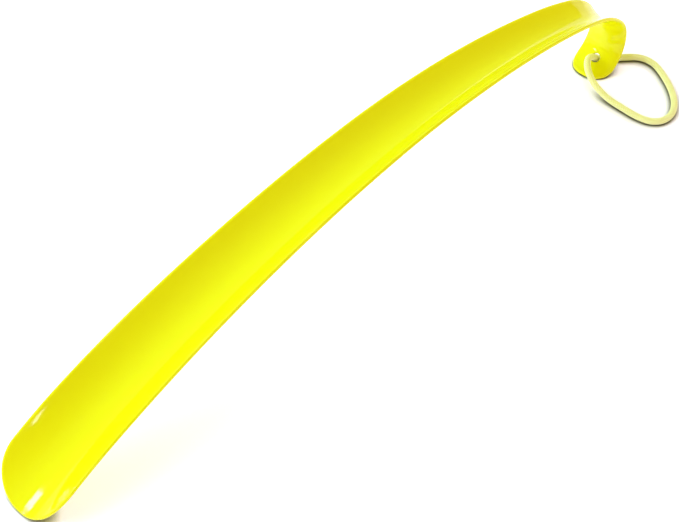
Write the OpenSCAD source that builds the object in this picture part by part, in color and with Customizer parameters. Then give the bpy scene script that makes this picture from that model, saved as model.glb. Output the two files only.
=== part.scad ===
// Long shoehorn: one thin curved channel moulding with a hook, and a braided hanging cord.
// Units are mm. The part lies on z = 0, blade end at -X, hook at +X, both sides mirrored in Y.

/* [Moulding] */
// Wall thickness at the blade's end
blade_wall = 2.2; // [1.5:0.1:3]
// Wall thickness of the shank and hook
shank_wall = 2.9; // [2:0.1:3.5]
// Slope of the blade's end when the part lies on a table, in degrees
rest_pitch = 25.63; // [20:0.01:30]
// Length of the blade and lower shank, along the middle of the channel
arch_length = 340; // [250:1:450]
// Bend radius of the blade and lower shank
arch_radius = 900; // [700:5:1200]
// Length of the upper shank
neck_length = 234; // [150:1:300]
// Bend radius of the upper shank
neck_radius = 675; // [500:5:900]

/* [Hook] */
// Length of the easing bend where the shank turns into the hook
lead_length = 33; // [15:1:50]
// Radius of that easing bend
lead_radius = 70; // [45:1:120]
// Length of the tight bend that closes the hook
hook_length = 63; // [50:1:80]
// Radius of the tight bend
hook_radius = 26; // [20:0.5:32]
// Diameter of the cord's hole
hole_d = 8; // [6.5:0.1:9]
// Distance from the hook's end to the middle of the hole, along the surface
hole_inset = 19; // [14:0.5:26]

/* [Channel widths] */
// Width just behind the rounded blade end
end_width = 58; // [44:0.5:66]
// Width of the blade
blade_width = 57; // [44:0.5:66]
// Width of the lower shank
shank_width = 50; // [36:0.5:58]
// Width of the middle of the shank
mid_width = 42.6; // [30:0.2:50]
// Width of the upper shank
neck_width = 35.6; // [26:0.2:44]
// Width at the top of the hook
crest_width = 31.4; // [24:0.2:40]
// Width at the end of the hook
tip_width = 34; // [24:0.2:40]

/* [Channel depths] */
// Depth of the channel just behind the rounded blade end
end_depth = 10; // [4:0.5:16]
// Depth of the blade's channel
blade_depth = 13; // [6:0.5:18]
// Depth of the lower shank's channel
shank_depth = 10.5; // [5:0.5:16]
// Depth in the middle of the shank
mid_depth = 9; // [5:0.5:14]
// Depth in the upper shank
neck_depth = 8.5; // [4:0.5:12]
// Depth at the top of the hook
crest_depth = 4; // [2:0.5:8]
// Depth at the end of the hook
tip_depth = 2; // [1:0.5:6]

/* [Cord] */
// Diameter of the braided cord
cord_d = 5.5; // [4:0.1:6.5]

/* [Hidden] */

// Rounded ends: how far the rounding reaches, and how square its corners are.
blade_round = 32;
blade_square = 2.15;
tip_round = 18;
tip_square = 2.1;

// The middle line of the wall: arcs of [length, radius], all bending the same way.
arcs = [
  [arch_length, arch_radius],
  [neck_length, neck_radius],
  [lead_length, lead_radius],
  [hook_length, hook_radius]
];
total = arch_length + neck_length + lead_length + hook_length;
neck_end = arch_length + neck_length;

// Stations along the middle line, and tables of [distance, half width], [distance, depth]
// and [distance, wall thickness].
blade_at = 70;
shank_at = 240;
mid_at = 420;
neck_at = 538;
crest_at = 618;
half_widths = [
  [0, end_width / 2],
  [blade_at, blade_width / 2],
  [shank_at, shank_width / 2],
  [mid_at, mid_width / 2],
  [neck_at, neck_width / 2],
  [crest_at, crest_width / 2],
  [total, tip_width / 2]
];
depths = [
  [0, end_depth],
  [blade_at, blade_depth],
  [shank_at, shank_depth],
  [mid_at, mid_depth],
  [neck_at, neck_depth],
  [crest_at, crest_depth],
  [total, tip_depth]
];
walls = [
  [0, blade_wall],
  [shank_at, shank_wall],
  [total, shank_wall]
];

// Smooth curve through stations, with no overshoot between them.
function rise(v, i) = (v[i + 1][1] - v[i][1]) / (v[i + 1][0] - v[i][0]);
function slope_at(v, i) =
  i == 0 ? rise(v, 0) :
  i == len(v) - 1 ? rise(v, i - 1) :
  rise(v, i - 1) * rise(v, i) <= 0 ? 0 :
  2 * rise(v, i - 1) * rise(v, i) / (rise(v, i - 1) + rise(v, i));
function span_of(v, s, i = 0) = i == len(v) - 2 || s < v[i + 1][0] ? i : span_of(v, s, i + 1);
function curve_at(v, s) =
  let(i = span_of(v, s))
  let(l = v[i + 1][0] - v[i][0])
  let(t = (s - v[i][0]) / l)
  (2 * t ^ 3 - 3 * t ^ 2 + 1) * v[i][1]
  + (t ^ 3 - 2 * t ^ 2 + t) * l * slope_at(v, i)
  + (3 * t ^ 2 - 2 * t ^ 3) * v[i + 1][1]
  + (t ^ 3 - t ^ 2) * l * slope_at(v, i + 1);

// Middle line at distance s from the blade's end: [x, z, pitch in degrees].
function arc_on(at, l, r) =
  let(p = at[2] - l / r * 180 / PI)
  [at[0] + r * (sin(at[2]) - sin(p)), at[1] + r * (cos(p) - cos(at[2])), p];
function spine(s, i = 0, at = [0, 0, rest_pitch]) =
  i == len(arcs) - 1 || s <= arcs[i][0] ?
    arc_on(at, s, arcs[i][1]) :
    spine(s - arcs[i][0], i + 1, arc_on(at, arcs[i][0], arcs[i][1]));

// Both ends narrow to nothing: 1 along the body, 0 at each end.
function rounding(s, reach, square) = (1 - max(0, 1 - s / reach) ^ square) ^ (1 / square);
function narrowing(s) =
  rounding(s, blade_round, blade_square) * rounding(total - s, tip_round, tip_square);

// Distances of the cross-sections, closer together where the outline turns.
end_rings = 11;
long_rings = 30;
lead_rings = 5;
hook_rings = 14;
tip_rings = 8;
first_turn = 2; // degrees of an end's rounding that its first or last ring leaves off
function end_turn(i, n) = first_turn + (90 - first_turn) * i / n;
rings = concat(
  [for (i = [0 : end_rings]) blade_round * (1 - cos(end_turn(i, end_rings)))],
  [for (i = [1 : long_rings]) blade_round + (neck_end - blade_round) * i / long_rings],
  [for (i = [1 : lead_rings]) neck_end + lead_length * i / lead_rings],
  [for (i = [1 : hook_rings]) total - hook_length + (hook_length - tip_round) * i / hook_rings],
  [for (i = [tip_rings - 1 : -1 : 0]) total - tip_round * (1 - cos(end_turn(i, tip_rings)))]
);

// One cross-section, as [y, height] points: a parabolic channel of half width w and depth h,
// whose wall is r thick on each side of its middle and has round rims.
across = 12;
rim_turns = [45, 0, -45];
function mid_point(w, h, u) = [w * u, h * u ^ 2];
function along(w, h, u) = [w, 2 * h * u] / norm([w, 2 * h * u]);
function up_from(a) = [-a[1], a[0]];
function face(w, h, r, u) = mid_point(w, h, u) + r * up_from(along(w, h, u));
function rim(w, h, r, side, a) =
  mid_point(w, h, side)
  + r * (side * cos(a) * along(w, h, side) + sin(a) * up_from(along(w, h, side)));
function section(w, h, r) = concat(
  [for (i = [0 : across]) face(w, h, r, 2 * i / across - 1)],
  [for (a = rim_turns) rim(w, h, r, 1, a)],
  [for (i = [0 : across]) face(w, h, -r, 1 - 2 * i / across)],
  [for (a = rim_turns) rim(w, h, r, -1, -a)]
);
function ring_at(s) =
  let(p = spine(s))
  let(n = narrowing(s))
  let(w = curve_at(half_widths, s) * n)
  let(h = curve_at(depths, s) * n ^ 2)
  [for (q = section(w, h, curve_at(walls, s) / 2))
    [p[0] - q[1] * sin(p[2]), q[0], p[1] + q[1] * cos(p[2])]];
free_rings = [for (s = rings) ring_at(s)];

// Stand the moulding on z = 0 with its middle at x = 0.
xs = [for (r = free_rings) for (q = r) q[0]];
zs = [for (r = free_rings) for (q = r) q[2]];
shift = [-(min(xs) + max(xs)) / 2, 0, -min(zs)];

// A closed skin over rings of n points: looped runs on from the last ring to the first.
function skin(count, n, looped) = [
  for (i = [0 : count - (looped ? 1 : 2)])
    for (j = [0 : n - 1])
      let(a = i * n + j, b = i * n + (j + 1) % n)
      let(c = (a + n) % (count * n), d = (b + n) % (count * n))
      for (f = [[a, c, b], [b, c, d]]) f
];
function end_caps(count, n) = [
  for (j = [1 : n - 2])
    for (f = [[0, j, j + 1], [(count - 1) * n, (count - 1) * n + j + 1, (count - 1) * n + j]]) f
];

// The cord's hole, square to the wall.
hole_at = spine(total - hole_inset);
hole_centre = [hole_at[0], 0, hole_at[1]] + shift;
hole_sides = 96;

// The cord's route, a closed loop from the hole over the hook's end and round on the table.
// Each point is [x, y, height] with x counted from the hole.
route = [
  [1, 0.5, 7.2],
  [-5.5, 1, 12.4],
  [-12.5, -0.5, 15.2],
  [-19.5, -5, 14],
  [-25, -13.5, 9.8],
  [-27.5, -24.5, 5.6],
  [-29, -36.5, 3.2],
  [-29, -48.5, 3],
  [-30, -62.5, 3],
  [-27.5, -75, 3],
  [-20, -81.5, 3],
  [-10, -82.5, 3],
  [0, -78.5, 3],
  [9.5, -71, 3],
  [18.5, -60.5, 3],
  [26, -48.5, 3],
  [33, -35.5, 3],
  [31.5, -22.5, 3],
  [24, -15, 3],
  [15.5, -8, 3],
  [8, -2.5, 3.4]
];
cord_sides = 10;
steps = 3;
function pull(i) = route[i % len(route)];
function soft(i, t) =
  ((1 - t) ^ 3 * pull(i) + (3 * t ^ 3 - 6 * t ^ 2 + 4) * pull(i + 1)
  + (-3 * t ^ 3 + 3 * t ^ 2 + 3 * t + 1) * pull(i + 2) + t ^ 3 * pull(i + 3)) / 6;
function heading(i, t) =
  -(1 - t) ^ 2 * pull(i) + (3 * t ^ 2 - 4 * t) * pull(i + 1)
  + (-3 * t ^ 2 + 2 * t + 1) * pull(i + 2) + t ^ 2 * pull(i + 3);
function cord_ring(i, t) =
  let(p = soft(i, t) + [hole_centre[0], 0, 0])
  let(d = heading(i, t) / norm(heading(i, t)))
  let(side = cross(d, [0, 0, 1]) / norm(cross(d, [0, 0, 1])))
  let(top = cross(side, d))
  [for (k = [0 : cord_sides - 1])
    p + cord_d / 2 * (cos(360 * k / cord_sides) * side + sin(360 * k / cord_sides) * top)];
cord_rings = [
  for (i = [0 : len(route) - 1])
    for (k = [0 : steps - 1]) cord_ring(i, k / steps)
];

module horn() {
  color([0.96, 0.93, 0.02])
    difference() {
      polyhedron(
        points = [for (r = free_rings) for (q = r) q + shift],
        faces = concat(
          skin(len(free_rings), len(free_rings[0]), false),
          end_caps(len(free_rings), len(free_rings[0]))
        ),
        convexity = 8
      );
      translate(hole_centre)
        rotate([0, -hole_at[2], 0])
          cylinder(d = hole_d, h = 4 * shank_wall, center = true, $fn = hole_sides);
    }
}

module cord_loop() {
  color([0.93, 0.97, 0.60])
    polyhedron(
      points = [for (r = cord_rings) for (q = r) q],
      faces = skin(len(cord_rings), cord_sides, true),
      convexity = 8
    );
}

horn();
cord_loop();
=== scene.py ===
"""The long shoehorn's looks: its smooth glossy moulding, its braided cord and a plain studio."""

import math

import bpy
import numpy as np
from mathutils import Matrix, Quaternion, Vector


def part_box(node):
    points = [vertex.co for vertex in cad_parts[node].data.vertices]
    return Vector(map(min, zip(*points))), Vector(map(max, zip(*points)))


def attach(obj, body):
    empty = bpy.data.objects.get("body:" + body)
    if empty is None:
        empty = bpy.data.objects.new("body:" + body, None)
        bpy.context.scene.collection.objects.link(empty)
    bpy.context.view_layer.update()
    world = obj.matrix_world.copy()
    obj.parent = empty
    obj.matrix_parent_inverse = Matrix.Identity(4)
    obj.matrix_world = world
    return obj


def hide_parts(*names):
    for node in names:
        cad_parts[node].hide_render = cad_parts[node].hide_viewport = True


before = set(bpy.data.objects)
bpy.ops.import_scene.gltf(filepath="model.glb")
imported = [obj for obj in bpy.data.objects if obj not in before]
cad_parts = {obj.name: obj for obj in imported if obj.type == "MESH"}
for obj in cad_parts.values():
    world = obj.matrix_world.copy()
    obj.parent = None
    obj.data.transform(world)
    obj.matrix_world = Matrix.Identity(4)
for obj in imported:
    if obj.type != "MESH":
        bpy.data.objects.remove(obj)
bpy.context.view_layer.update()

MM = 0.001

# The camera, in metres and degrees.
CAMERA_PLACE = (-0.4970, -0.4828, 0.7600)
CAMERA_YAW = 44.94
CAMERA_DOWN = 47.95
CAMERA_ROLL = -1.08
CAMERA_LENS = 75.56
SENSOR_WIDTH = 36.0

# The moulding, in mm: the design's own dimensions.
REST_PITCH = math.radians(25.63)
ARCS = [(340, 900), (234, 675), (33, 70), (63, 26)]  # each length and bend radius
TOTAL = sum(length for length, radius in ARCS)
NECK_END = 574
HALF_WIDTHS = [(0, 29), (70, 28.5), (240, 25), (420, 21.3), (538, 17.8), (618, 15.7), (TOTAL, 17)]
DEPTHS = [(0, 10), (70, 13), (240, 10.5), (420, 9), (538, 8.5), (618, 4), (TOTAL, 2)]
WALLS = [(0, 2.2), (240, 2.9), (TOTAL, 2.9)]
BLADE_RIM, TIP_RIM = WALLS[0][1] / 2, WALLS[-1][1] / 2
BLADE_REACH, BLADE_SQUARE = 32, 2.15
TIP_REACH, TIP_SQUARE = 18, 2.1

# The cord's hole, in mm.
HOLE_RADIUS = 4.0
HOLE_AT = TOTAL - 19
HOLE_LIP = 0.5
HOLE_BLOCK = 6.6  # half the side of the square patch round the hole
PATCH_SHARES = (0.75, 0.5, 0.28, 0.1, 0)  # the patch's rings, 1 at its square edge and 0 at the round lip
LIP_TURNS = (18, 36, 54, 72, 90)  # degrees round the lip from the face into the bore

# The moulding's mesh: how many vertices lie across it, and their spacing along it in mm.
ACROSS = 41
BODY_STEP = 2.0
HOOK_STEP = 1.0
END_TURN = 4.0  # degrees of the end rounding between the end and the first row
BLADE_TURN, TIP_TURN = 3.0, 3.3  # degrees of each end rounding from row to row
RIM_STEPS = 8

# The cord, in mm. Each point is (x from the hole, y, height), a closed loop.
CORD_DIAMETER = 5.5
CORD_ROUTE = [
    (1, 0.5, 7.2), (-5.5, 1, 12.4), (-12.5, -0.5, 15.2), (-19.5, -5, 14), (-25, -13.5, 9.8),
    (-27.5, -24.5, 5.6), (-29, -36.5, 3.2), (-29, -48.5, 3), (-30, -62.5, 3), (-27.5, -75, 3),
    (-20, -81.5, 3), (-10, -82.5, 3), (0, -78.5, 3), (9.5, -71, 3), (18.5, -60.5, 3),
    (26, -48.5, 3), (33, -35.5, 3), (31.5, -22.5, 3), (24, -15, 3), (15.5, -8, 3), (8, -2.5, 3.4),
]
CORD_JOIN = 17  # the point that pulls the line where the cord's two ends meet
CORD_SIDES = 56
CORD_STEPS = 56  # rings for each point of the route
STRANDS = 8  # strands that turn each way
STRAND_ADVANCE = 2.0  # distance along the cord from one strand to the next
BRAID_RELIEF = 0.6
JOIN_LENGTH = 9.0
JOIN_FADE = 4  # how sharply the join ends
JOIN_SWELL = 0.12
JOIN_SMOOTH = 0.8  # share of the braid's relief that the join loses


# ---------------------------------------------------------------- camera

def make_camera():
    """The camera at the photograph's viewing angle."""
    yaw, down, roll = (math.radians(a) for a in (CAMERA_YAW, CAMERA_DOWN, CAMERA_ROLL))
    ahead = Vector((math.cos(down) * math.cos(yaw), math.cos(down) * math.sin(yaw), -math.sin(down)))
    level = Vector((math.sin(yaw), -math.cos(yaw), 0))
    upright = level.cross(ahead)
    right = level * math.cos(roll) + upright * math.sin(roll)
    up = upright * math.cos(roll) - level * math.sin(roll)
    data = bpy.data.cameras.new("camera")
    data.sensor_fit = "HORIZONTAL"
    data.sensor_width = SENSOR_WIDTH
    data.lens = CAMERA_LENS
    data.clip_start = 0.02
    camera = bpy.data.objects.new("camera", data)
    turn = Matrix((right, up, -ahead)).transposed().to_4x4()
    camera.matrix_world = Matrix.Translation(CAMERA_PLACE) @ turn
    bpy.context.scene.collection.objects.link(camera)
    bpy.context.scene.camera = camera


# ---------------------------------------------------------------- shapes

def stations(table, s):
    """The smooth curve through a table of stations, with no overshoot between them."""
    at, value = np.array(table, float).T
    rise = np.diff(value) / np.diff(at)
    both = rise[:-1] * rise[1:]
    total = np.where(both > 0, rise[:-1] + rise[1:], 1)
    slope = np.concatenate([rise[:1], np.where(both > 0, 2 * both / total, 0), rise[-1:]])
    i = np.clip(np.searchsorted(at, s, side="right") - 1, 0, len(rise) - 1)
    span = at[i + 1] - at[i]
    t = (s - at[i]) / span
    return (
        (2 * t**3 - 3 * t**2 + 1) * value[i]
        + (t**3 - 2 * t**2 + t) * span * slope[i]
        + (3 * t**2 - 2 * t**3) * value[i + 1]
        + (t**3 - t**2) * span * slope[i + 1]
    )


def spine(s):
    """x, z and pitch of the moulding's middle line at distance s from the blade's end."""
    s = np.asarray(s, float)
    x, z = np.zeros_like(s), np.zeros_like(s)
    pitch = np.full_like(s, REST_PITCH)
    start = 0
    for length, radius in ARCS:
        after = pitch - np.clip(s - start, 0, length) / radius
        x += radius * (np.sin(pitch) - np.sin(after))
        z += radius * (np.cos(after) - np.cos(pitch))
        pitch = after
        start += length
    return x, z, pitch


def sheet(s, y, off):
    """Points at distance s along the channel and y across it, raised by off from the wall's middle."""
    x, z, pitch = spine(s)
    width, depth = stations(HALF_WIDTHS, s), stations(DEPTHS, s)
    slope = 2 * depth * y / width**2
    steep = np.hypot(1, slope)
    across = y - off * slope / steep
    up = depth * (y / width) ** 2 + off / steep
    return np.stack([x - up * np.sin(pitch), across, z + up * np.cos(pitch)], -1)


def rounding(s, reach, square):
    """0 at an end and 1 from reach onwards, along a rounded corner."""
    return (1 - np.clip(1 - s / reach, 0, 1) ** square) ** (1 / square)


def edge(s):
    """Half width of the wall at distance s, up to where its round rim begins."""
    blade = rounding(s - BLADE_RIM, BLADE_REACH, BLADE_SQUARE)
    tip = rounding(TOTAL - TIP_RIM - s, TIP_REACH, TIP_SQUARE)
    return stations(HALF_WIDTHS, s) * blade * tip


def moulding_rows():
    """Distances of the mesh's rows along the moulding, closer together at both rounded ends."""
    blade_turns = np.radians(np.arange(END_TURN, 90, BLADE_TURN))
    blade = BLADE_RIM + BLADE_REACH * (1 - np.cos(blade_turns))
    body_start, tip_start = BLADE_RIM + BLADE_REACH, TOTAL - TIP_RIM - TIP_REACH
    body = np.linspace(body_start, NECK_END, round((NECK_END - body_start) / BODY_STEP), endpoint=False)
    hook = np.linspace(NECK_END, tip_start, round((tip_start - NECK_END) / HOOK_STEP), endpoint=False)
    tip_turns = np.radians(np.arange(90, END_TURN, -TIP_TURN))
    tip = TOTAL - TIP_RIM - TIP_REACH * (1 - np.cos(tip_turns))
    return np.concatenate([blade, body, hook, tip])


def moulding_mesh():
    """Vertices in mm, faces, and each vertex's distance from the nearest rim in mm."""
    rows = moulding_rows()
    half = edge(rows)
    s = np.repeat(rows[:, None], ACROSS, 1)
    y = half[:, None] * np.linspace(-1, 1, ACROSS)[None, :]
    count = s.size
    half_wall = stations(WALLS, s) / 2
    top, bottom = sheet(s, y, half_wall).reshape(-1, 3), sheet(s, y, -half_wall).reshape(-1, 3)
    to_side = np.abs(half[:, None] - np.abs(y))
    to_end = np.minimum(s - rows[0], rows[-1] - s)
    inward = (np.minimum(to_side, to_end) + half_wall).ravel()
    index = np.arange(count).reshape(s.shape)

    # A block of the grid round the hole is left open on both faces.
    in_rows = np.flatnonzero(np.abs(rows - HOLE_AT) < HOLE_BLOCK)
    in_columns = np.flatnonzero(np.abs(y[in_rows].mean(0)) < HOLE_BLOCK)
    i0, i1, j0, j1 = in_rows[0], in_rows[-1], in_columns[0], in_columns[-1]
    kept = np.ones((len(rows) - 1, ACROSS - 1), bool)
    kept[i0:i1, j0:j1] = False
    quads = np.stack([index[:-1, :-1], index[1:, :-1], index[1:, 1:], index[:-1, 1:]], -1)[kept]
    faces = [quads, quads[:, ::-1] + count]

    # The round rim, from the top face's border round to the bottom's.
    border = np.concatenate([index[:-1, 0], index[-1, :-1], index[:0:-1, -1], index[0, :0:-1]])
    middle = (top[border] + bottom[border]) / 2
    normal = top[border] - middle
    normal /= np.linalg.norm(normal, axis=1)[:, None]
    ahead = np.roll(middle, -1, 0) - np.roll(middle, 1, 0)
    outward = np.cross(ahead, normal)
    outward /= np.linalg.norm(outward, axis=1)[:, None]
    thick = half_wall.ravel()[border, None]
    turns = np.radians(180 * np.arange(1, RIM_STEPS) / RIM_STEPS)
    rim = [middle + thick * (math.cos(a) * normal + math.sin(a) * outward) for a in turns]
    rim_inward = [thick[:, 0] * (1 - math.sin(a)) for a in turns]
    rim_at = 2 * count + np.arange((RIM_STEPS - 1) * len(border)).reshape(RIM_STEPS - 1, -1)
    faces += strips([border, *rim_at, border + count], downward=True)

    # The hole: a patch narrowing to a circle, a rounded lip, the bore, and the same below.
    block = index[i0 : i1 + 1, j0 : j1 + 1]
    frame_loop = np.concatenate([block[:-1, 0], block[-1, :-1], block[:0:-1, -1], block[0, :0:-1]])
    loop_s, loop_y = s.ravel()[frame_loop], y.ravel()[frame_loop]
    angle = np.arctan2(loop_y, loop_s - HOLE_AT)
    profile = hole_profile()
    hole_points = []
    for share, radius, off in profile:
        ring_s = HOLE_AT + radius * np.cos(angle)
        ring_y = radius * np.sin(angle)
        hole_points.append(
            sheet(ring_s + share * (loop_s - ring_s), ring_y + share * (loop_y - ring_y), off)
        )
    first = 2 * count + rim_at.size
    hole_at = first + np.arange(len(profile) * len(frame_loop)).reshape(len(profile), -1)
    faces += strips([frame_loop, *hole_at, frame_loop + count], downward=False)
    hole_inward = [np.full(len(frame_loop), max(0.0, radius - HOLE_RADIUS)) for _, radius, _ in profile]

    points = np.concatenate([top, bottom, *rim, *hole_points])
    distance = np.concatenate([inward, inward, *rim_inward, *hole_inward])
    return points, np.concatenate(faces).tolist(), distance


def hole_profile():
    """Rings from the top patch through the hole to the bottom one: (patch share, radius, off)."""
    outer = HOLE_RADIUS + HOLE_LIP
    upper = [(share, outer, TIP_RIM) for share in PATCH_SHARES]
    for a in map(math.radians, LIP_TURNS):
        upper.append((0, outer - HOLE_LIP * math.sin(a), TIP_RIM - HOLE_LIP * (1 - math.cos(a))))
    return upper + [(share, radius, -off) for share, radius, off in reversed(upper)]


def strips(loops, downward):
    """Quads between each closed loop of vertices and the next."""
    made = []
    for one, other in zip(loops[:-1], loops[1:]):
        quad = [one, other, np.roll(other, -1), np.roll(one, -1)]
        made.append(np.stack(quad if downward else quad[::-1], -1))
    return made


def mesh_object(name, points, faces, values):
    """A smooth mesh object of those points in metres, with named numbers on its vertices."""
    mesh = bpy.data.meshes.new(name)
    mesh.from_pydata(points.tolist(), [], faces)
    for key, numbers in values.items():
        mesh.attributes.new(key, "FLOAT", "POINT").data.foreach_set("value", numbers.astype(np.float32))
    mesh.shade_smooth()
    made = bpy.data.objects.new(name, mesh)
    bpy.context.scene.collection.objects.link(made)
    return made


def make_moulding():
    """The one-piece moulding, set on the CAD solid's own place. Returns the hole's centre in mm."""
    points, faces, inward = moulding_mesh()
    low, high = (np.array(corner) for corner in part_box("horn"))
    place = (low + high) / 2 / MM - (points.min(0) + points.max(0)) / 2
    place[2] = low[2] / MM - points[:, 2].min()
    horn = mesh_object("moulding", (points + place) * MM, faces, {"inward": inward})
    horn.data.materials.append(moulded_plastic())
    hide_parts("horn")
    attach(horn, "moulding")
    return sheet(HOLE_AT, 0, 0) + place


# ---------------------------------------------------------------- cord

def cord_line(hole):
    """Points in mm and unit headings along the cord, from its join right round to the join again."""
    pulls = np.roll(np.array(CORD_ROUTE, float), -CORD_JOIN, axis=0)
    pulls[:, 0] += hole[0]
    a, b, c, d = (np.roll(pulls, -k, axis=0)[:, None, :] for k in range(4))
    t = (np.arange(CORD_STEPS) / CORD_STEPS)[None, :, None]
    at = (
        (1 - t) ** 3 * a
        + (3 * t**3 - 6 * t**2 + 4) * b
        + (-3 * t**3 + 3 * t**2 + 3 * t + 1) * c
        + t**3 * d
    )
    go = -((1 - t) ** 2) * a + (3 * t**2 - 4 * t) * b + (-3 * t**2 + 2 * t + 1) * c + t**2 * d
    at, go = at.reshape(-1, 3) / 6, go.reshape(-1, 3)
    return at, go / np.linalg.norm(go, axis=1)[:, None]


def braid(round_share, along, length):
    """How proud the braid stands from 0 to 1, and the place across the strand on top there."""
    turns = round(length / STRAND_ADVANCE)
    one = STRANDS * round_share + turns * along
    other = STRANDS * round_share - turns * along
    over = np.sin(np.pi * (other + np.floor(one)))
    under = -np.sin(np.pi * (one + np.floor(other)))
    one_across, other_across = one % 1, other % 1
    one_height = np.sqrt(np.sin(np.pi * one_across)) * (0.5 + 0.5 * over)
    other_height = np.sqrt(np.sin(np.pi * other_across)) * (0.5 + 0.5 * under)
    top = one_height > other_height
    return np.where(top, one_height, other_height), np.where(top, one_across, other_across)


def make_cord(hole):
    """The braided cord, a loop whose two ends are fused where they meet under the hook's end."""
    at, go = cord_line(hole)
    gaps = np.linalg.norm(np.roll(at, -1, 0) - at, axis=1)
    along = np.concatenate([[0], np.cumsum(gaps)])
    length = along[-1]
    side = np.cross(go, (0, 0, 1))
    side /= np.linalg.norm(side, axis=1)[:, None]
    top = np.cross(side, go)

    share = (np.arange(CORD_SIDES) / CORD_SIDES)[None, :]
    crest, yarn = braid(share, (along[:-1] / length)[:, None], length)
    from_join = np.minimum(along[:-1], length - along[:-1])[:, None]
    fused = np.exp(-((2 * from_join / JOIN_LENGTH) ** JOIN_FADE))
    sunk = BRAID_RELIEF * (1 - crest) * (1 - JOIN_SMOOTH * fused)
    radius = CORD_DIAMETER / 2 - sunk + JOIN_SWELL * fused
    turn = 2 * np.pi * share[..., None]
    ring = np.cos(turn) * side[:, None, :] + np.sin(turn) * top[:, None, :]
    points = at[:, None, :] + radius[..., None] * ring

    count = len(at)
    index = np.arange(count * CORD_SIDES).reshape(count, CORD_SIDES)
    faces = np.concatenate(strips([*index, index[0]], downward=False)).tolist()
    fused_all_round = np.repeat(fused, CORD_SIDES, 1)
    values = {"crest": crest.ravel(), "yarn": yarn.ravel(), "fused": fused_all_round.ravel()}
    cord = mesh_object("hanging_cord", points.reshape(-1, 3) * MM, faces, values)
    cord.data.materials.append(braided_cord())
    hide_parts("cord_loop")
    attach(cord, "loop")


# ---------------------------------------------------------------- materials

def add(tree, kind, inputs=None, **settings):
    """A new node with its settings, each input a plain value or another node's output."""
    made = tree.nodes.new(kind)
    for key, value in settings.items():
        setattr(made, key, value)
    for key, value in (inputs or {}).items():
        if isinstance(value, bpy.types.NodeSocket):
            tree.links.new(value, made.inputs[key])
        else:
            made.inputs[key].default_value = value
    return made


def maths(tree, operation, one, other):
    """One step of arithmetic between values or node outputs."""
    return add(tree, "ShaderNodeMath", {0: one, 1: other}, operation=operation).outputs[0]


def noise(tree, place, **inputs):
    """A cloudy pattern from 0 to 1 over those places."""
    return add(tree, "ShaderNodeTexNoise", {"Vector": place, **inputs}).outputs["Fac"]


def stretched(tree, place, scale):
    """Places scaled by a different amount along each axis."""
    return add(tree, "ShaderNodeMapping", {"Vector": place, "Scale": scale}).outputs["Vector"]


def mix(tree, share, one, other):
    """A blend from one colour to the other."""
    inputs = {"Factor": share, "A": one, "B": other}
    made = add(tree, "ShaderNodeMix", inputs, data_type="RGBA")
    return made.outputs[2]  # the colour result


def ramp(tree, value, stops, colour=False):
    """A smooth change through (place, level) stops, or (place, (r, g, b)) stops with colour."""
    made = add(tree, "ShaderNodeValToRGB", {"Fac": value})
    made.color_ramp.interpolation = "EASE"
    elements = made.color_ramp.elements
    while len(elements) < len(stops):
        elements.new(0.5)
    for element, (place, level) in zip(elements, stops):
        element.position = place
        element.color = (*level, 1) if colour else (level, level, level, 1)
    return made.outputs["Color"]


def new_finish(name):
    """A material's node tree and its shader."""
    material = bpy.data.materials.new(name)
    material.use_nodes = True
    tree = material.node_tree
    return material, tree, tree.nodes["Principled BSDF"]


# The plastic's colours, linear, and its roughness where it is clean, scratched and worn.
LEMON_DEEP, LEMON_LIGHT = (0.75, 0.76, 0.002, 1), (0.78, 0.79, 0.003, 1)
LEMON_WORN, WORN_TINT = (0.90, 0.89, 0.06, 1), 0.25
CLEAN_ROUGHNESS, SCRATCH_ROUGHNESS, WORN_ROUGHNESS = 0.05, 0.10, 0.15
RIM_WEAR = 4.0  # mm in from the rims that handling has worn


def moulded_plastic():
    """Glossy lemon plastic: faint flow marks, fine handling scratches, rims worn a little dull."""
    material, tree, shader = new_finish("moulded_plastic")
    place = add(tree, "ShaderNodeTexCoord").outputs["Object"]
    flow = noise(tree, stretched(tree, place, (4, 22, 22)), Scale=1.0, Detail=3.0)
    scratch_noise = noise(tree, stretched(tree, place, (60, 2400, 2400)), Scale=1.0, Detail=2.0)
    scratches = ramp(tree, scratch_noise, [(0.62, 0.0), (0.72, 1.0)])
    patches = ramp(tree, noise(tree, place, Scale=14.0, Detail=4.0), [(0.45, 0.0), (0.7, 1.0)])
    inward = add(tree, "ShaderNodeAttribute", attribute_name="inward").outputs["Fac"]
    near_rim = ramp(tree, maths(tree, "DIVIDE", inward, RIM_WEAR), [(0.0, 1.0), (1.0, 0.0)])
    wear = maths(tree, "MULTIPLY", near_rim, patches)

    tone = mix(tree, flow, LEMON_DEEP, LEMON_LIGHT)
    colour = mix(tree, maths(tree, "MULTIPLY", wear, WORN_TINT), tone, LEMON_WORN)
    tree.links.new(colour, shader.inputs["Base Color"])

    scratched = maths(tree, "MULTIPLY", maths(tree, "MULTIPLY", scratches, patches), SCRATCH_ROUGHNESS)
    dulled = maths(tree, "ADD", scratched, maths(tree, "MULTIPLY", wear, WORN_ROUGHNESS))
    tree.links.new(maths(tree, "ADD", dulled, CLEAN_ROUGHNESS), shader.inputs["Roughness"])

    fine = noise(tree, place, Scale=260.0, Detail=2.0)
    height = maths(tree, "ADD", flow, maths(tree, "MULTIPLY", fine, 0.02))
    bump = add(tree, "ShaderNodeBump", {"Height": height, "Strength": 0.08, "Distance": 0.0004})
    tree.links.new(bump.outputs["Normal"], shader.inputs["Normal"])
    shader.inputs["IOR"].default_value = 1.49
    shader.inputs["Specular IOR Level"].default_value = 0.3
    shader.inputs["Subsurface Weight"].default_value = 0.25
    shader.inputs["Subsurface Radius"].default_value = (1.0, 0.9, 0.05)
    shader.inputs["Subsurface Scale"].default_value = 0.003
    return material


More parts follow.
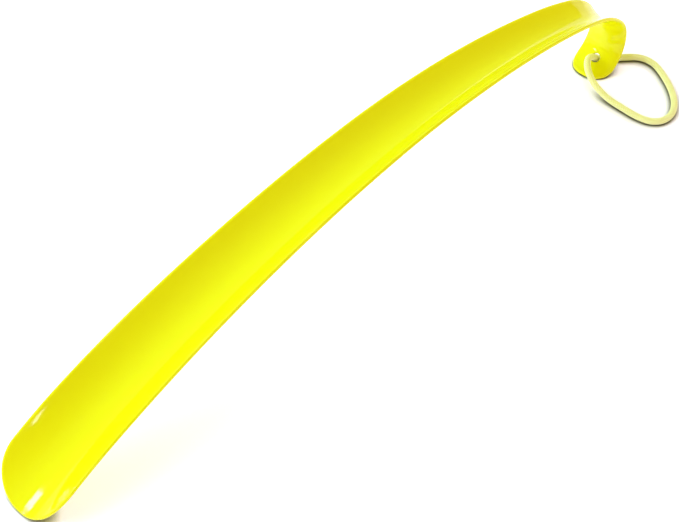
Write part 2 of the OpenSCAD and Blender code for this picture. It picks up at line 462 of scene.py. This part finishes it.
# The cord's colours, linear: from painted shade in the gaps between its strands to their crests, then
# pale and fused.
CORD_TONES_AND_PAINTED_SHADE = [(0.0, (0.16, 0.23, 0.02)), (0.45, (0.74, 0.84, 0.18)), (0.85, (1.0, 1.0, 0.74))]
CORD_PALE, PALE_SHARE = (0.94, 0.95, 0.52, 1), 0.15
CORD_FUSED, FUSED_SHARE = (0.70, 0.76, 0.16, 1), 0.6
CORD_ROUGHNESS, FUSED_GLOSS = 0.78, 0.35
YARNS = 3  # yarns side by side in a strand


def braided_cord():
    """Pale yellow braided polyester: painted shade in the gaps between the strands, fine yarns and a soft
    sheen.
    """
    material, tree, shader = new_finish("braided_cord")
    place = add(tree, "ShaderNodeTexCoord").outputs["Object"]
    crest = add(tree, "ShaderNodeAttribute", attribute_name="crest").outputs["Fac"]
    yarn = add(tree, "ShaderNodeAttribute", attribute_name="yarn").outputs["Fac"]
    fused = add(tree, "ShaderNodeAttribute", attribute_name="fused").outputs["Fac"]
    fibre = noise(tree, place, Scale=2600.0, Detail=3.0)
    uneven = noise(tree, place, Scale=60.0, Detail=2.0)

    # painted shade: the colour darkens from the braid's crests down into the gaps between strands
    strand = ramp(tree, crest, CORD_TONES_AND_PAINTED_SHADE, colour=True)
    mottled = mix(tree, maths(tree, "MULTIPLY", uneven, PALE_SHARE), strand, CORD_PALE)
    melted = mix(tree, maths(tree, "MULTIPLY", fused, FUSED_SHARE), mottled, CORD_FUSED)
    tree.links.new(melted, shader.inputs["Base Color"])

    yarn_turn = maths(tree, "MULTIPLY", yarn, 2 * math.pi * YARNS)
    ridges = add(tree, "ShaderNodeMath", {0: yarn_turn}, operation="SINE").outputs[0]
    height = maths(tree, "ADD", maths(tree, "MULTIPLY", ridges, 0.3), fibre)
    bump = add(tree, "ShaderNodeBump", {"Height": height, "Strength": 0.5, "Distance": 0.0001})
    tree.links.new(bump.outputs["Normal"], shader.inputs["Normal"])
    matt = maths(tree, "SUBTRACT", CORD_ROUGHNESS, maths(tree, "MULTIPLY", fused, FUSED_GLOSS))
    tree.links.new(matt, shader.inputs["Roughness"])
    shader.inputs["Sheen Weight"].default_value = 0.25
    shader.inputs["Sheen Roughness"].default_value = 0.4
    shader.inputs["Subsurface Weight"].default_value = 0.15
    shader.inputs["Subsurface Radius"].default_value = (1.0, 1.0, 0.5)
    shader.inputs["Subsurface Scale"].default_value = 0.0012
    return material


# The floor's painted contact shadow and painted glow: dark and unlit where it is covered, white and
# glowing where it is open.
FLOOR_PAINTED_SHADOW_TONES = [(0.25, (0.10, 0.10, 0.09)), (0.95, (0.93, 0.93, 0.93))]
FLOOR_PAINTED_GLOW = [(0.5, 0.0), (1.0, 0.6)]
PAINTED_GLOW_COLOUR = (0.55, 0.57, 1.0, 1)
CONTACT_REACH = 0.012  # how far away a thing still darkens the floor, in metres


def studio_white_painted_glow_and_shadow():
    """Matt white with a painted glow, and a painted contact shadow: darker and unlit close under whatever
    touches it.
    """
    material, tree, shader = new_finish("studio_white_painted_glow_and_shadow")
    place = add(tree, "ShaderNodeTexCoord").outputs["Object"]
    grain = noise(tree, place, Scale=900.0)
    bump = add(tree, "ShaderNodeBump", {"Height": grain, "Strength": 0.05, "Distance": 0.0002})
    tree.links.new(bump.outputs["Normal"], shader.inputs["Normal"])
    # painted contact shadow: near anything touching the floor its colour darkens and its glow goes out
    opening = add(tree, "ShaderNodeAmbientOcclusion", {"Distance": CONTACT_REACH}).outputs["AO"]
    tree.links.new(ramp(tree, opening, FLOOR_PAINTED_SHADOW_TONES, colour=True), shader.inputs["Base Color"])
    tree.links.new(ramp(tree, opening, FLOOR_PAINTED_GLOW), shader.inputs["Emission Strength"])
    shader.inputs["Roughness"].default_value = 0.9
    shader.inputs["Specular IOR Level"].default_value = 0.1
    # painted glow: the floor gives off its own bluish light so that it reads white
    shader.inputs["Emission Color"].default_value = PAINTED_GLOW_COLOUR
    return material


# ---------------------------------------------------------------- studio

FLOOR_RINGS = (0.6, 1.2, 1.8)  # radii of the rings inside the floor's flat part, in metres
FLOOR_FLAT = 2.2  # radius of the flat part
FLOOR_RISE = 1.0  # radius of the curve up from it
FLOOR_LEAN = 75  # degrees that the curve turns through
FLOOR_STEPS = 16
FLOOR_SPOKES = 96
BRIGHT_SIDE = (0.166, 0.62, 0.766)  # the direction of the room's brightest part
BRIGHT_COLOUR = (0.60, 0.60, 0.34)
WARM_COLOUR = (0.76, 0.45, 0.14)


def make_floor():
    """A round white sweep: flat under the object, then curving up all round."""
    turns = np.radians(np.linspace(0, FLOOR_LEAN, FLOOR_STEPS))
    radii = [*FLOOR_RINGS, *(FLOOR_FLAT + FLOOR_RISE * np.sin(turns))]
    heights = [0] * len(FLOOR_RINGS) + [*(FLOOR_RISE * (1 - np.cos(turns)))]
    spokes = 2 * np.pi * np.arange(FLOOR_SPOKES) / FLOOR_SPOKES
    rings = [
        np.stack([r * np.cos(spokes), r * np.sin(spokes), np.full(FLOOR_SPOKES, z)], -1)
        for r, z in zip(radii, heights)
    ]
    points = np.concatenate([[[0, 0, 0]], *rings])
    index = 1 + np.arange(len(radii) * FLOOR_SPOKES).reshape(len(radii), -1)
    faces = np.concatenate(strips(list(index), downward=True)).tolist()
    faces += [[0, int(a), int(b)] for a, b in zip(index[0], np.roll(index[0], -1))]
    floor = mesh_object("floor", points, faces, {})
    floor.data.materials.append(studio_white_painted_glow_and_shadow())


def softbox(
    name, aim, azimuth, elevation, distance, size, power, colour=(1, 1, 1), roll=0, mirrored=False
):
    """A rectangular lamp facing the aim point, seen from there at that azimuth and elevation.
    Its sides are rolled anticlockwise, as seen from behind it. Only a mirrored one shows as a glint.
    All angles are in degrees."""
    a, e = math.radians(azimuth), math.radians(elevation)
    away = Vector((math.cos(e) * math.cos(a), math.cos(e) * math.sin(a), math.sin(e)))
    data = bpy.data.lights.new(name, "AREA")
    data.shape = "RECTANGLE"
    data.size, data.size_y = size
    data.energy = power
    data.color = colour
    lamp = bpy.data.objects.new(name, data)
    lamp.location = Vector(aim) + away * distance
    rolled = Quaternion((0, 0, 1), math.radians(roll))
    lamp.rotation_euler = (away.to_track_quat("Z", "Y") @ rolled).to_euler()
    lamp.visible_glossy = mirrored
    bpy.context.scene.collection.objects.link(lamp)


def make_world():
    """A warm room, smoothly brighter and less orange overhead to one side, with no edge to mirror."""
    world = bpy.data.worlds.new("studio")
    world.use_nodes = True
    tree = world.node_tree
    direction = add(tree, "ShaderNodeTexCoord").outputs["Generated"]
    inputs = {0: direction, 1: BRIGHT_SIDE}
    towards = add(tree, "ShaderNodeVectorMath", inputs, operation="DOT_PRODUCT").outputs["Value"]
    glow = ramp(tree, towards, [(0.0, WARM_COLOUR), (1.0, BRIGHT_COLOUR)], colour=True)
    tree.links.new(glow, tree.nodes["Background"].inputs["Color"])
    tree.nodes["Background"].inputs["Strength"].default_value = 1.0
    bpy.context.scene.world = world


def make_lights():
    """A broad key, a lamp past the hook's end, and small lamps for the glints on the blade."""
    softbox(
        "key",
        aim=(-0.05, 0, 0.04),
        azimuth=130,
        elevation=46,
        distance=1.6,
        size=(1.9, 1.5),
        power=25,
        colour=(0.72, 1.0, 1.0),
    )
    softbox(
        "hook_lamp",
        aim=(0.28, -0.04, 0),
        azimuth=-3,
        elevation=36,
        distance=0.8,
        size=(0.1, 0.1),
        power=1.6,
    )
    softbox(
        "glint",
        aim=(-0.29, -0.005, 0.008),
        azimuth=121,
        elevation=34.5,
        distance=1.2,
        size=(0.058, 0.28),
        power=1.3,
        roll=-37,
        mirrored=True,
    )
    softbox(
        "rim_glint",
        aim=(-0.26, 0.026, 0.03),
        azimuth=-117.5,
        elevation=37,
        distance=1.1,
        size=(0.11, 0.03),
        power=0.16,
        roll=-20,
        mirrored=True,
    )


make_camera()
make_cord(make_moulding())
make_floor()
make_world()
make_lights()
bpy.context.scene.view_settings.view_transform = "Standard"
